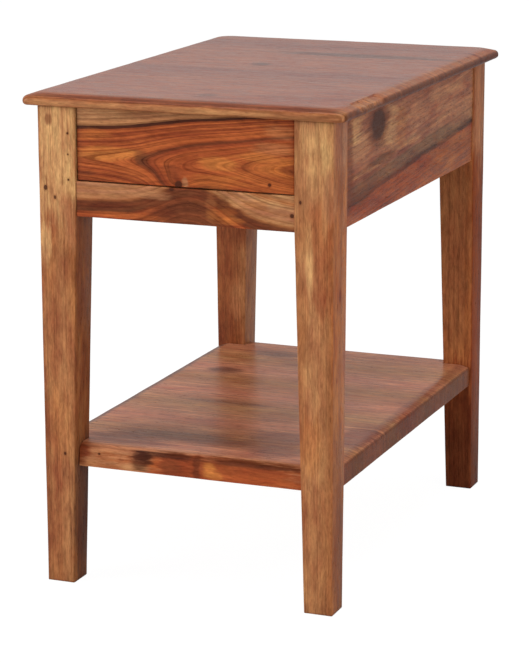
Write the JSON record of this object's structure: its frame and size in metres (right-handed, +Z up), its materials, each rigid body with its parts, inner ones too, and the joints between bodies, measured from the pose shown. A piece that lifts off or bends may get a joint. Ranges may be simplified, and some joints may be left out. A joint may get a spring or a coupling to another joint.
{
  "type": "chairside table",
  "caption": "Narrow solid wood chairside table with a bevelled top, an inset drawer over a rail, tapered legs and a low notched shelf.",
  "frame": {"origin": "on the floor, under the middle of the top", "axes": "+X to the right across the front, +Y from the drawer front to the back, +Z up"},
  "size_m": [0.404, 0.602, 0.6],
  "materials": {
    "sheesham": "satin lacquer over strongly figured reddish brown hardwood",
    "inner_wood": "planed, unlacquered hardwood",
    "drawer_panel": "thin plywood",
    "dowel_wood": "plain beech",
    "steel": "zinc plated"
  },
  "bodies": {
    "frame": {"table_top": "sheesham", "leg_front_left": "sheesham", "leg_front_right": "sheesham", "leg_back_left": "sheesham", "leg_back_right": "sheesham", "apron_left": "sheesham", "apron_right": "sheesham", "apron_back": "sheesham", "front_rail": "sheesham", "top_rail": "inner_wood", "runner_left": "inner_wood", "runner_right": "inner_wood", "guide_left": "inner_wood", "guide_right": "inner_wood", "kicker_left": "inner_wood", "kicker_right": "inner_wood", "lower_shelf": "sheesham", "shelf_dowels": "dowel_wood", "kicker_screws": "steel", "top_rail_screws": "steel", "guide_screws": "steel", "runner_screws": "steel"},
    "drawer": {"drawer_front": "sheesham", "drawer_side_left": "inner_wood", "drawer_side_right": "inner_wood", "drawer_back": "inner_wood", "drawer_bottom": "drawer_panel", "drawer_stop": "inner_wood", "drawer_stop_screw": "steel", "drawer_nails": "steel", "drawer_bottom_nails": "steel"}
  },
  "joints": [
    {"name": "drawer_slide", "type": "slide", "parent": "frame", "child": "drawer", "axis": [0, -1, 0], "range_m": [0, 0.39]}
  ]
}
